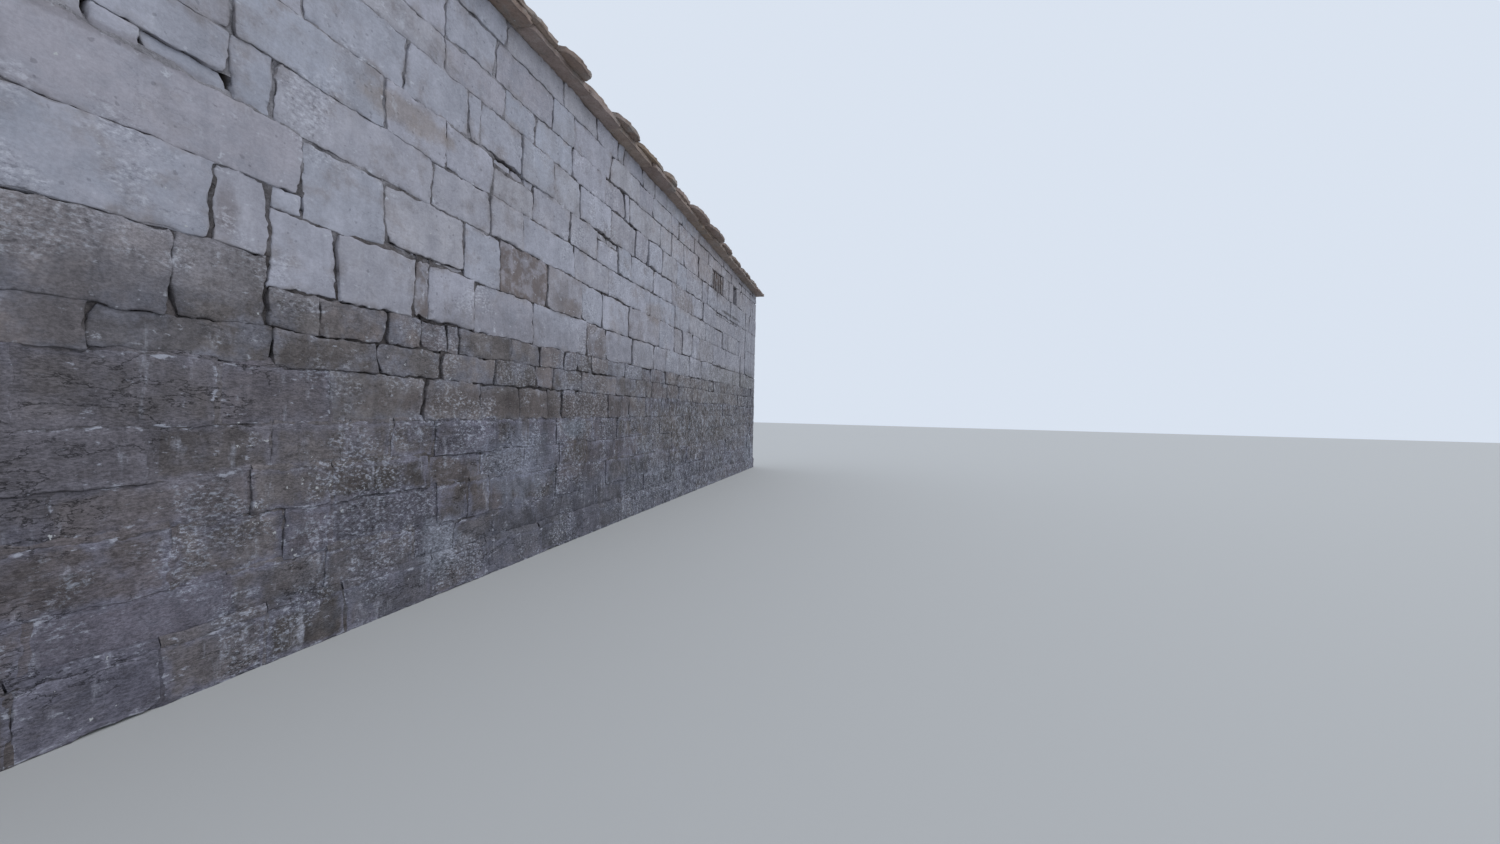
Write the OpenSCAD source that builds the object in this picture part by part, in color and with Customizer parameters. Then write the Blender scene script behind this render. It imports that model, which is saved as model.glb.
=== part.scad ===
// Dry stone wall of coursed, squared sandstone blocks with stone cover slabs, in millimetres.
// The origin is under the middle of the wall, the front face looks to -Y and +Z is up.

/* [Wall] */
// Length of the wall between its two end faces
wall_length = 14000; // [10000:500:20000]
// Height of the head of the wall at its near end, under the cover slabs
wall_height = 4860; // [3600:20:5600]
// Thickness between the front face and the rear face
wall_thickness = 700; // [620:10:900]
// Depth that a face stone reaches into the wall
leaf_depth = 270; // [200:10:290]
// Width of the open upright joint between two neighbouring stones
joint_gap = 8; // [4:1:20]
// Shortest stone that is left where a row is cut at an end or beside an opening
shortest_stone = 110; // [60:10:160]
// How far the lowest course stands out from the faces
footing_projection = 25; // [0:5:60]
// Deepest set-back of a face stone behind the line of the face
face_setback = 14; // [0:1:30]
// Largest sideways lean of an upright joint over the height of a course
joint_lean = 18; // [0:1:24]
// Longest piece worn off a corner of a stone, along its bed or its joint
corner_wear = 34; // [0:2:60]

/* [Ends] */
// Length of the paired corner stones that lie along the wall
runner_length = 640; // [500:10:800]
// Length of the single corner stones that lie through the wall
header_length = 360; // [250:10:450]
// Length of the two tall corner stones at the far end
tall_corner_length = 1000; // [800:20:1200]
// How far the bed between those two lies above the bed of the course beside them
tall_corner_rise = 190; // [60:10:260]

/* [Bonding] */
// In a bonding course, one stone in this many goes through the wall
through_spacing = 5; // [3:1:8]

/* [Vent slit] */
// Distance from the far end to the middle of the vent slit
slit_from_end = 1970; // [1700:10:2100]
// Clear width of the vent slit
slit_width = 280; // [100:10:320]
// Length of each jamb stone beside the slit
jamb_length = 300; // [200:10:360]
// How far the sill and the lintel reach past the slit on each side
slit_bearing = 150; // [100:10:250]

/* [Walled-up opening] */
// Distance from the far end to the middle of the walled-up opening
infill_from_end = 3150; // [3000:10:4000]
// Width of the walled-up opening
infill_width = 700; // [400:10:760]
// How far its rough stones stand back from the face
infill_recess = 25; // [0:5:60]

/* [Jump in the courses] */
// Distance from the near end to the joint where two beds jump
jump_from_end = 2970; // [2400:10:3100]
// Rise of the lower of the two beds on the near side of the jump
jump_lower_rise = 170; // [40:10:180]
// Rise of the upper of the two beds on the near side of the jump
jump_upper_rise = 120; // [40:10:180]
// Length of the flat pinning stone that closes the upper jump
pinning_length = 160; // [100:10:240]

/* [Cover slabs] */
// Thickness of the lower cover slabs
lower_slab_thickness = 60; // [40:5:100]
// Mean thickness of the upper cover slabs
upper_slab_thickness = 60; // [40:5:100]
// Difference between the thinnest and the thickest upper slab
slab_thickness_spread = 24; // [0:2:30]
// Least overhang of an upper slab past a face of the wall
slab_overhang = 130; // [60:10:260]
// How much further the boldest upper slab reaches out
overhang_spread = 170; // [0:10:200]
// Overhang of a lower slab as a share of what an upper slab would have
lower_reach = 0.85; // [0.3:0.05:1]
// Share of its overhang that a slab has lost at its corner nearer to the near end
near_corner_loss = 0.6; // [0:0.05:0.8]
// Share of its overhang that a slab has lost at its other corner
far_corner_loss = 0.2; // [0:0.05:0.8]
// Overhang of the end slabs past the two ends of the wall
end_overhang = 70; // [20:10:160]
// Width of the open joint between two slabs of a layer
slab_gap = 14; // [6:1:30]

/* [Hidden] */
// Distances from the near end at which the heights of the beds are given
stations = [0, 3200, 6800, wall_length];
// Heights of the beds at those stations, from the ground to the head of the wall, which wall_height scales
bed_heights = [
    [0, 0, 0, 0],
    [290, 270, 250, 200],
    [520, 520, 500, 530],
    [800, 800, 780, 800],
    [1020, 1020, 1030, 1110],
    [1270, 1270, 1290, 1300],
    [1600, 1580, 1560, 1490],
    [1800, 1780, 1780, 1735],
    [2020, 2000, 1960, 1940],
    [2500, 2420, 2310, 2220],
    [3040, 2870, 2700, 2600],
    [3330, 3190, 3030, 2930],
    [3660, 3520, 3370, 3260],
    [3990, 3880, 3740, 3660],
    [4230, 4110, 4060, 4070],
    [4620, 4470, 4380, 4200],
    [4860, 4720, 4620, 4280]
];
// Lengths of the stones of each course, laid from the near corner stone and then repeated
course_rows = [
    [410, 550, 500, 450, 420, 430, 650, 550, 700, 500, 600, 500],
    [600, 540, 650, 650, 500, 600, 380, 420, 580, 620, 500, 650],
    [600, 660, 680, 490, 260, 770, 320, 230, 230, 720, 450, 550],
    [640, 600, 600, 700, 430, 690, 530, 550, 550, 500, 650],
    [560, 700, 600, 500, 430, 300, 350, 650, 420, 450, 700],
    [540, 650, 550, 650, 550, 680, 570, 470, 410, 250, 240, 710, 340, 200, 500],
    [560, 500, 600, 700, 600, 530, 570, 550, 270, 530, 750, 550, 300, 200],
    [540, 500, 600, 560, 410, 260, 450, 270, 230, 120, 600, 400, 400, 230, 300, 370, 450, 500, 250],
    [600, 660, 820, 250, 360, 550, 120, 430, 770, 930, 420, 670, 660, 440, 550, 480, 600],
    [790, 850, 1130, 520, 670, 410, 670, 610, 440, 650, 970, 580, 350, 430, 400],
    [560, 480, 370, 720, 200, 1050, 580, 420, 840, 720, 1180, 900, 640, 850],
    [640, 900, 870, 860, 500, 490, 530, 600, 550, 500, 350, 690, 690, 870, 580, 770, 850],
    [760, 800, 900, 670, 580, 120, 510, 480, 470, 670, 670, 380, 480, 570, 430, 790, 280, 580, 700],
    [740, 800, 700, 800, 700, 650, 420, 600, 670, 510, 120, 980, 430, 520, 700, 750],
    [760, 800, 700, 850, 350, 530, 790, 380, 770, 750, 430, 680, 340, 500, 210],
    [640, 800, 700, 800, 700, 750, 830, 650, 500, 170, 530, 390, 430]
];
course_count = len(course_rows);
// Courses in which some stones go through the wall, and how far the rear rows are shifted
through_courses = [3, 5, 7, 9, 11, 13];
rear_row_shift = 5;
// Course that holds the vent slit and the walled-up opening, and the first of the two beds that jump
slit_course = 14;
jump_course = 8;
// Lower of the two tall corner stones; the two of them take the place of three courses
tall_corner_course = 10;
// Lengths of the rough upright stones in the walled-up opening
infill_row = [150, 110, 170, 130];
// Front stones with slips under or over them: course, place along the wall, height under, height over
slipped_stones = [
    [10, 4000, 45, 0], [11, 2400, 110, 0], [12, 4900, 0, 70],
    [12, 6500, 0, 80], [12, 11300, 0, 60], [12, 11900, 0, 60]
];
// Lengths of the slips, laid from the near end of such a stone
slip_row = [230, 170, 290, 140, 260];
// Lengths of the slabs in each layer, laid from the near end and then repeated
lower_slab_row = [640, 920, 760, 1080, 840, 690, 980];
upper_slab_row = [
    970, 900, 750, 1100, 850, 740, 490, 590, 610, 800,
    420, 650, 750, 870, 680, 800, 900, 700, 570
];
// How boldly those slabs reach out at the front, as shares of the spread
lower_slab_shares = [0.45, 0.3, 0.6, 0.4, 0.2, 0.5, 0.35];
upper_slab_shares = [
    0.65, 0.35, 0.76, 0.47, 0.7, 0.47, 0.88, 0.12, 0.65, 0.47,
    0.7, 0.41, 0.94, 1, 0.65, 0.41, 0.35, 0.24, 0
];
// At the rear the shares are taken this many slabs further on
rear_share_shift = 5;
// Places along the edge of a slab at which its overhang is worked out
edge_places = [0, 0.06, 0.2, 0.4, 0.62, 0.82, 0.95, 1];

face_y = wall_thickness / 2;
slit_x = wall_length - slit_from_end;
infill_x = wall_length - infill_from_end;

// Height of a bed at a distance from the near end
function bed(b, x) =
    lookup(x, [for (i = [0 : len(stations) - 1]) [stations[i], bed_heights[b][i]]])
        * wall_height / bed_heights[course_count][0];

// Rise of a bed on the near side of the jump; step is where it comes down again
function rise(b, x, step) =
    x > step ? 0 :
    b == jump_course ? jump_lower_rise :
    b == jump_course + 1 ? jump_upper_rise : 0;

// End of the stretch that has the raised underside, which the pinning stone makes longer
function underside_step(course) = jump_from_end + (course == jump_course + 2 ? pinning_length : 0);

// Points of a bed between two ends, with the stations between them
function bed_line(b, x0, x1, step) = [
    for (x = concat([x0], [for (s = stations) if (s > x0 + 1 && s < x1 - 1) s], [x1]))
        [x, bed(b, x) + rise(b, (x0 + x1) / 2, step)]
];

function backwards(points) = [for (i = [len(points) - 1 : -1 : 0]) points[i]];

function raised(points, height) = [for (p = points) p + [0, height]];

// Sideways lean of the upright joint at x; joints at an end, at the slit, at the jump and at the tall
// corner stones stand plumb
function lean(course, x) =
    x <= 0 || x >= wall_length ? 0 :
    abs(x - slit_x) < slit_width ? 0 :
    abs(x - wall_length + tall_corner_length) < shortest_stone ? 0 :
    abs(x - jump_from_end) < 2 * pinning_length ? 0 :
    joint_lean * sin(137 * course + 0.9 * x);

// Side view of one stone between two joints, clear of its beds by under and over; it is as high as one
// course or more
function stone_outline(course, x0, x1, under = 0, over = 0, courses = 1) =
    let (
        half = joint_gap / 2,
        a = x0 <= 0 ? 0 : x0 + half,
        b = x1 >= wall_length ? wall_length : x1 - half,
        lean_a = lean(course, x0) / 2,
        lean_b = lean(course, x1) / 2
    )
    concat(
        raised(bed_line(course - 1, a - lean_a, b - lean_b, underside_step(course)), under),
        backwards(raised(bed_line(course - 1 + courses, a + lean_a, b + lean_b, jump_from_end), -over))
    );

// Length worn off one side of a corner
function wear(seed) = corner_wear * (0.25 + 0.75 * abs(sin(seed)));

// The same outline with its corners worn off; the slight bends of a bed at the stations stay as they are
function worn(points, seed) = [
    for (i = [0 : len(points) - 1])
        let (
            before = points[(i + len(points) - 1) % len(points)] - points[i],
            after = points[(i + 1) % len(points)] - points[i],
            turn = abs(cross(before, after)) / (norm(before) * norm(after))
        )
        each turn < 0.5 ? [points[i]] : [
            points[i] + before * min(wear(seed + 61 * i) / norm(before), 0.25),
            points[i] + after * min(wear(seed + 89 * i + 40) / norm(after), 0.25)
        ]
];

// Length of the corner stones of a course at the near end and at the far end
function corner(course) = course % 2 == 1 ? runner_length : header_length;
function is_tall(course) = course >= tall_corner_course && course <= tall_corner_course + 2;
function far_corner(course) = is_tall(course) ? tall_corner_length : corner(course);

// Stretches of a course that are kept for special stones, in order along the wall
function kept(course) = concat(
    [[0, corner(course)]],
    course == jump_course || course == jump_course + 1 ? [[jump_from_end, jump_from_end]] : [],
    course == jump_course + 2 ? [[underside_step(course), underside_step(course)]] : [],
    abs(course - slit_course) == 1 ? [slit_stretch(slit_bearing)] : [],
    course == slit_course ? [slit_stretch(jamb_length)] : [],
    [[wall_length - far_corner(course), wall_length]]
);
function slit_stretch(past) =
    let (reach = (slit_width - joint_gap) / 2 + past)
    [slit_x - reach, slit_x + reach];
function infill_stretch() = [infill_x - infill_width / 2, infill_x + infill_width / 2];

// Joints of a row of stone lengths that starts at x and is repeated up to the far end
function row_joints(row, x, i = 0) =
    x >= wall_length ? [] : concat([x], row_joints(row, x + row[i % len(row)], i + 1));

// Stones between the ends a and b of a free stretch, cut at the joints of a row
function stones_between(joints, a, b) =
    let (
        kept_joints = [for (j = joints) if (j > a + shortest_stone && j < b - shortest_stone) j],
        cuts = concat([a], kept_joints, [b])
    )
    [for (i = [0 : len(cuts) - 2]) [cuts[i], cuts[i + 1]]];

// Stones of a whole course around the stretches that are kept
function stones(row, course, stretches) = [
    for (i = [0 : len(stretches) - 2])
        each stones_between(row_joints(row, corner(course)), stretches[i][1], stretches[i + 1][0])
];

function by_place(list) = len(list) < 2 ? list : let (pivot = list[0][0]) concat(
    by_place([for (s = list) if (s[0] < pivot) s]),
    [for (s = list) if (s[0] == pivot) s],
    by_place([for (s = list) if (s[0] > pivot) s])
);

function is_bonding(course) = len([for (c = through_courses) if (c == course) c]) > 0;

// Stones of a course as the front face shows them, and those of them that go through the wall
function front_row(course) = stones(
    course_rows[course - 1], course,
    by_place(concat(kept(course), course == slit_course ? [infill_stretch()] : []))
);
function through_row(course) =
    let (row = front_row(course))
    is_bonding(course) ? [for (i = [2 : through_spacing : len(row) - 2]) row[i]] : [];
function is_through(course, s) = len([for (t = through_row(course)) if (t[0] == s[0]) t]) > 0;

// Stones of a course at the rear: another row of lengths, laid round the same through stones
function rear_row(course) = stones(
    course_rows[(course + rear_row_shift - 1) % course_count], course,
    by_place(concat(kept(course), through_row(course)))
);

// Slips that belong to a stone of the front face
function slips_of(course, s) = [
    for (p = slipped_stones)
        if (p[0] == course && p[1] > s[0] && p[1] < s[1]) p
];
function slip_under(course, s) = let (p = slips_of(course, s)) len(p) > 0 ? p[0][2] : 0;
function slip_over(course, s) = let (p = slips_of(course, s)) len(p) > 0 ? p[0][3] : 0;

// Corner stones of the usual height in a course
function corner_stretches(course) = concat(
    [[0, corner(course)]],
    is_tall(course) ? [] : [[wall_length - corner(course), wall_length]]
);

// How far the face of a stone stands back, from its place along the wall
function setback(course, x) =
    course == 1 ? -footing_projection : face_setback * abs(sin(71 * course + 1.7 * x));

function course_colour(course) =
    course > jump_course ? [0.62, 0.61, 0.64] :
    course > 5 ? [0.47, 0.42, 0.38] : [0.42, 0.40, 0.42];

// Everything is laid out from the near end and then centred
module upright(points, front, back) {
    translate([-wall_length / 2, back, 0])
        rotate([90, 0, 0])
            linear_extrude(back - front)
                polygon(points);
}

// A row of stones in the front leaf
module front_course(course) {
    color(course_colour(course))
        for (s = front_row(course))
            if (!is_through(course, s))
                upright(
                    worn(
                        stone_outline(course, s[0], s[1], slip_under(course, s), slip_over(course, s)),
                        s[0] + 53 * course
                    ),
                    -face_y + setback(course, s[0]),
                    -face_y + leaf_depth
                );
}

// A row of stones in the rear leaf
module rear_course(course) {
    color(course_colour(course))
        for (s = rear_row(course))
            upright(
                worn(stone_outline(course, s[0], s[1]), s[1] + 53 * course),
                face_y - leaf_depth,
                face_y - setback(course, s[1])
            );
}

// Two stones side by side at both ends of each odd course
module corner_runners() {
    color([0.60, 0.59, 0.60])
        for (course = [1 : 2 : course_count])
            for (s = corner_stretches(course)) {
                out = course == 1 ? footing_projection : 0;
                outline = worn(stone_outline(course, s[0], s[1]), s[1] + 29 * course);
                upright(outline, -face_y - out, -joint_gap / 2);
                upright(outline, joint_gap / 2, face_y + out);
            }
}

// One stone through the whole thickness at both ends of each even course, and the lower tall corner stone
module corner_headers() {
    color([0.58, 0.57, 0.58]) {
        for (course = [2 : 2 : course_count])
            for (s = corner_stretches(course))
                upright(worn(stone_outline(course, s[0], s[1]), s[1] + 31 * course), -face_y, face_y);
        upright(
            worn(
                stone_outline(
                    tall_corner_course, wall_length - tall_corner_length, wall_length,
                    over = -tall_corner_rise
                ),
                tall_corner_length
            ),
            -face_y, face_y
        );
    }
}

// The upper tall corner stone, which takes the place of two courses
module upper_corner_block() {
    color([0.59, 0.58, 0.59])
        upright(
            worn(
                stone_outline(
                    tall_corner_course + 1, wall_length - tall_corner_length, wall_length,
                    under = tall_corner_rise, courses = 2
                ),
                tall_corner_rise
            ),
            -face_y, face_y
        );
}

// Stones that tie the two leaves together
module through_stones() {
    color([0.52, 0.49, 0.47])
        for (course = through_courses)
            for (s = through_row(course))
                upright(worn(stone_outline(course, s[0], s[1]), s[0] + 53 * course), -face_y, face_y);
}

// Sides of the vent slit
module slit_jambs() {
    stretch = slit_stretch(jamb_length);
    color([0.55, 0.53, 0.53]) {
        upright(stone_outline(slit_course, stretch[0], slit_stretch(0)[0]), -face_y, face_y);
        upright(stone_outline(slit_course, slit_stretch(0)[1], stretch[1]), -face_y, face_y);
    }
}

module slit_sill() {
    stretch = slit_stretch(slit_bearing);
    color([0.55, 0.53, 0.53])
        upright(stone_outline(slit_course - 1, stretch[0], stretch[1]), -face_y, face_y);
}

module slit_lintel() {
    stretch = slit_stretch(slit_bearing);
    color([0.55, 0.53, 0.53])
        upright(stone_outline(slit_course + 1, stretch[0], stretch[1]), -face_y, face_y);
}

// Rough upright stones that close an old opening in the front leaf
module opening_infill() {
    stretch = infill_stretch();
    color([0.40, 0.38, 0.36])
        for (s = stones_between(row_joints(infill_row, stretch[0]), stretch[0], stretch[1]))
            upright(
                worn(stone_outline(slit_course, s[0], s[1]), s[0]),
                -face_y + infill_recess + setback(slit_course, s[0]),
                -face_y + leaf_depth
            );
}

// Flat stone through the wall that makes up the height where the upper bed jumps
module jump_pinning() {
    x0 = jump_from_end + joint_gap / 2;
    x1 = jump_from_end + pinning_length - joint_gap / 2;
    low = [for (x = [x0, x1]) [x, bed(jump_course + 1, x)]];
    upright(
        concat(low, backwards(raised(low, jump_upper_rise))),
        -face_y + face_setback, face_y - face_setback
    );
}

// Thin stones: the one at the jump, and those under or over front stones that are too low for their course
module bed_slips() {
    color([0.46, 0.43, 0.41]) {
        jump_pinning();
        for (course = [1 : course_count])
            for (s = front_row(course))
                if (!is_through(course, s) && len(slips_of(course, s)) > 0) {
                    slip_layer(course, s, course - 1, 0, slip_under(course, s));
                    slip_layer(course, s, course, -slip_over(course, s), 0);
                }
    }
}

// Slips between two heights above a bed, as long together as the stone s
module slip_layer(course, s, b, low, high) {
    if (high > low)
        for (slip = stones_between(row_joints(slip_row, s[0]), s[0], s[1])) {
            line = bed_line(b, slip[0] + joint_gap / 2, slip[1] - joint_gap / 2, jump_from_end);
            upright(
                concat(raised(line, low), backwards(raised(line, high))),
                -face_y + face_setback + setback(course, slip[0]),
                -face_y + leaf_depth
            );
        }
}

// Small stones packed between the leaves, course by course, up to whatever goes through the wall
module hearting(course) {
    stretches = by_place(concat(kept(course), through_row(course)));
    color([0.45, 0.42, 0.40])
        for (i = [0 : len(stretches) - 2])
            if (stretches[i + 1][0] - stretches[i][1] > shortest_stone)
                upright(
                    stone_outline(course, stretches[i][1], stretches[i + 1][0]),
                    leaf_depth - face_y,
                    face_y - leaf_depth
                );
}

// The even courses of hearting are long, and the odd ones are pockets between the through stones
module hearting_lifts() {
    for (course = [2 : 2 : course_count])
        hearting(course);
}

module hearting_pockets() {
    for (course = [1 : 2 : course_count])
        hearting(course);
}

function slab_bed(x) = bed(course_count, min(max(x, 0), wall_length));

// How much of its overhang a slab keeps at a place along its edge: least at its near corner, and uneven
function corner_loss(place) =
    place < 0.5 ? near_corner_loss * pow(1 - 2 * place, 3) : far_corner_loss * pow(2 * place - 1, 5);
function edge_share(place, seed) = (1 - corner_loss(place)) * (1 - 0.1 * abs(sin(seed + 500 * place)));

// Plan of one slab between two joints, with its overhang at the front and at the rear
function slab_plan(x0, x1, front, rear, seed) = concat(
    [for (p = edge_places) [x0 + (x1 - x0) * p, -face_y - front * edge_share(p, seed)]],
    [for (p = backwards(edge_places)) [x0 + (x1 - x0) * p, face_y + rear * edge_share(p, seed + 70)]]
);

function overhang(shares, i) = slab_overhang + overhang_spread * shares[i % len(shares)];

// One layer of slabs across the head of the wall, on top of what lies under it
module slab_layer(row, shares, reach, under, thickness, spread) {
    slabs = stones_between(row_joints(row, -end_overhang), -end_overhang, wall_length + end_overhang);
    for (i = [0 : len(slabs) - 1]) {
        x0 = slabs[i][0] + (i == 0 ? 0 : slab_gap / 2);
        x1 = slabs[i][1] - (i == len(slabs) - 1 ? 0 : slab_gap / 2);
        breaks = concat([x0], [for (s = stations) if (s > x0 + 1 && s < x1 - 1) s], [x1]);
        line = [for (x = breaks) [x, slab_bed(x) + under]];
        own = thickness + spread * (shares[(i + 2) % len(shares)] - 0.5);
        front = reach * overhang(shares, i);
        rear = reach * overhang(shares, i + rear_share_shift);
        intersection() {
            upright(concat(line, backwards(raised(line, own))), -2 * wall_thickness, 2 * wall_thickness);
            translate([-wall_length / 2, 0, 0])
                linear_extrude(2 * wall_height)
                    polygon(slab_plan(x0, x1, front, rear, 83 * i));
        }
    }
}

module lower_slabs() {
    color([0.42, 0.37, 0.34])
        slab_layer(lower_slab_row, lower_slab_shares, lower_reach, 0, lower_slab_thickness, 0);
}

module upper_slabs() {
    color([0.45, 0.41, 0.37])
        slab_layer(
            upper_slab_row, upper_slab_shares, 1,
            lower_slab_thickness, upper_slab_thickness, slab_thickness_spread
        );
}

front_course(1);  // front_course_01
front_course(2);  // front_course_02
front_course(3);  // front_course_03
front_course(4);  // front_course_04
front_course(5);  // front_course_05
front_course(6);  // front_course_06
front_course(7);  // front_course_07
front_course(8);  // front_course_08
front_course(9);  // front_course_09
front_course(10);  // front_course_10
front_course(11);  // front_course_11
front_course(12);  // front_course_12
front_course(13);  // front_course_13
front_course(14);  // front_course_14
front_course(15);  // front_course_15
front_course(16);  // front_course_16
rear_course(1);  // rear_course_01
rear_course(2);  // rear_course_02
rear_course(3);  // rear_course_03
rear_course(4);  // rear_course_04
rear_course(5);  // rear_course_05
rear_course(6);  // rear_course_06
rear_course(7);  // rear_course_07
rear_course(8);  // rear_course_08
rear_course(9);  // rear_course_09
rear_course(10);  // rear_course_10
rear_course(11);  // rear_course_11
rear_course(12);  // rear_course_12
rear_course(13);  // rear_course_13
rear_course(14);  // rear_course_14
rear_course(15);  // rear_course_15
rear_course(16);  // rear_course_16
corner_runners();
corner_headers();
upper_corner_block();
through_stones();
hearting_lifts();
hearting_pockets();
slit_jambs();
slit_sill();
slit_lintel();
opening_infill();
bed_slips();
lower_slabs();
upper_slabs();
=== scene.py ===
import math

import bmesh
import bpy
import numpy as np
from mathutils import Matrix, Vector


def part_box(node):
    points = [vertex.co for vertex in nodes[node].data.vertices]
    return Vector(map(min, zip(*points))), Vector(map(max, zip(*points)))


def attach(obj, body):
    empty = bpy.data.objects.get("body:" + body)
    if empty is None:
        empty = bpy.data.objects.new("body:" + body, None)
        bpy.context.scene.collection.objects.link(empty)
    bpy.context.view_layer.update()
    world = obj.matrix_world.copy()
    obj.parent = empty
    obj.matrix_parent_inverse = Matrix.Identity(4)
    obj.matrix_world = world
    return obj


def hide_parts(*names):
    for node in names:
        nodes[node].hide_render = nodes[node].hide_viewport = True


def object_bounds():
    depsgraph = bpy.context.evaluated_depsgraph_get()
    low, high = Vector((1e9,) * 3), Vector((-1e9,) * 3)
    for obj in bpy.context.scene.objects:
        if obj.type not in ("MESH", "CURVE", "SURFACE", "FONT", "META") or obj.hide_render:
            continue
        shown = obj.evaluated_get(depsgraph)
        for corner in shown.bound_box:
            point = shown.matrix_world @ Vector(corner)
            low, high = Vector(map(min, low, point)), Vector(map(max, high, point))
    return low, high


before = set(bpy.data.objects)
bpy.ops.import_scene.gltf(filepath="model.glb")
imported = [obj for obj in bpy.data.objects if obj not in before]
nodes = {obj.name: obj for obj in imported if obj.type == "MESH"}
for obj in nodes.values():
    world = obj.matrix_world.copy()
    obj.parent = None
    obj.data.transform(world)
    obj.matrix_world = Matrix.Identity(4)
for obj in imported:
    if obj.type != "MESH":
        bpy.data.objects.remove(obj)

cad_low, cad_high = [list(corner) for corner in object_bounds()]


# The viewpoint. It lies at eye height close to the wall, left of its middle, and looks along the front face towards
# the far end through a wide lens held almost level.
EYE_HEIGHT = 1.4
EYE_TO_FACE = 3.17
EYE_TO_FAR_END = 13.2
TURN_TO_WALL = math.radians(13.91)
LENS_ROLL = math.radians(1.3)
FOCAL_LENGTH, SENSOR_WIDTH = 12.98, 36.0
FRAME_SHIFT = -0.0073
SIGHT_LIMIT = 200.0

face_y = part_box("corner_headers")[0].y
far_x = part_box("corner_headers")[1].x

lens = bpy.data.cameras.new("view")
lens.lens = FOCAL_LENGTH
lens.sensor_width = SENSOR_WIDTH
lens.shift_y = FRAME_SHIFT
lens.clip_end = SIGHT_LIMIT
camera = bpy.data.objects.new("view", lens)
bpy.context.scene.collection.objects.link(camera)
bpy.context.scene.camera = camera
stand = Matrix.Translation((far_x - EYE_TO_FAR_END, face_y - EYE_TO_FACE, EYE_HEIGHT))
turn = Matrix.Rotation(TURN_TO_WALL - math.pi / 2, 4, "Z") @ Matrix.Rotation(math.pi / 2, 4, "X")
camera.matrix_world = stand @ turn @ Matrix.Rotation(LENS_ROLL, 4, "Z")


# The stage: a plain pale floor, an even pale surround, and one broad soft lamp high in front of the wall.
FLOOR_SIZE, FLOOR_COLOUR, FLOOR_ROUGHNESS = 120.0, (0.50, 0.50, 0.49, 1), 0.95
SURROUND_COLOUR, SURROUND_STRENGTH = (0.715, 0.785, 0.89, 1), 0.98
LAMP_COLOUR, LAMP_ENERGY = (1.0, 0.97, 0.93), 0.75
LAMP_SPREAD = math.radians(60)
LAMP_TURN = (math.radians(42), 0, math.radians(38))

half = FLOOR_SIZE / 2
floor_mesh = bpy.data.meshes.new("floor")
floor_mesh.from_pydata([(-half, -half, 0), (half, -half, 0), (half, half, 0), (-half, half, 0)], [], [(0, 1, 2, 3)])
floor_coat = bpy.data.materials.new("pale_floor")
floor_coat.use_nodes = True
floor_shader = floor_coat.node_tree.nodes["Principled BSDF"]
floor_shader.inputs["Base Color"].default_value = FLOOR_COLOUR
floor_shader.inputs["Roughness"].default_value = FLOOR_ROUGHNESS
floor_mesh.materials.append(floor_coat)
floor = bpy.data.objects.new("floor", floor_mesh)
bpy.context.scene.collection.objects.link(floor)

world = bpy.data.worlds.new("surround")
bpy.context.scene.world = world
world.use_nodes = True
surround = world.node_tree.nodes["Background"]
surround.inputs["Color"].default_value = SURROUND_COLOUR
surround.inputs["Strength"].default_value = SURROUND_STRENGTH

lamp = bpy.data.lights.new("softbox", "SUN")
lamp.energy = LAMP_ENERGY
lamp.angle = LAMP_SPREAD
lamp.color = LAMP_COLOUR
softbox = bpy.data.objects.new("softbox", lamp)
bpy.context.scene.collection.objects.link(softbox)
softbox.rotation_euler = LAMP_TURN
bpy.context.scene.view_settings.view_transform = "Standard"


# Stones. Each node of the frame holds the stones of one course as plain blocks. Every block is dressed here as a
# real stone: worn arrises, rounded corners, an uneven face and ragged edges close to the block's own beds and joints.
STEEPEST_BED = 0.2


def outline_of(co, plane):
    """The corners of a block as seen along one axis, in order about its middle, and that middle."""
    flat = np.unique(np.round(co[:, plane], 5), axis=0)
    centre = (flat.min(0) + flat.max(0)) / 2
    return flat[np.argsort(np.arctan2(flat[:, 1] - centre[1], flat[:, 0] - centre[0]))], centre


def straight_crossing(first, second):
    """Where the lines through two edges meet; an edge is its two end points."""
    p, r = first[0], first[1] - first[0]
    q, s = second[0], second[1] - second[0]
    share = ((q[0] - p[0]) * s[1] - (q[1] - p[1]) * s[0]) / (r[0] * s[1] - r[1] * s[0])
    return p + share * r


def stone_corners(co):
    """Corners of a block in side view, where its beds would meet its joints if they weren't worn off."""
    flat = outline_of(co, [0, 2])[0]
    sides = {"low": [], "right": [], "top": [], "left": []}
    for p, q in zip(flat, np.roll(flat, -1, 0)):
        run, rise = q - p
        if abs(rise) < STEEPEST_BED * abs(run):
            sides["low" if run > 0 else "top"].append((p, q))
        elif abs(run) < STEEPEST_BED * abs(rise):
            sides["right" if rise > 0 else "left"].append((p, q))
    low, top = sorted(sides["low"], key=lambda e: e[0][0]), sorted(sides["top"], key=lambda e: e[0][0])
    left, right = sides["left"][0], sides["right"][0]
    pairs = ((low[0], left), (low[-1], right), (top[-1], right), (top[0], left))
    return np.array([straight_crossing(*pair) for pair in pairs])


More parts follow.
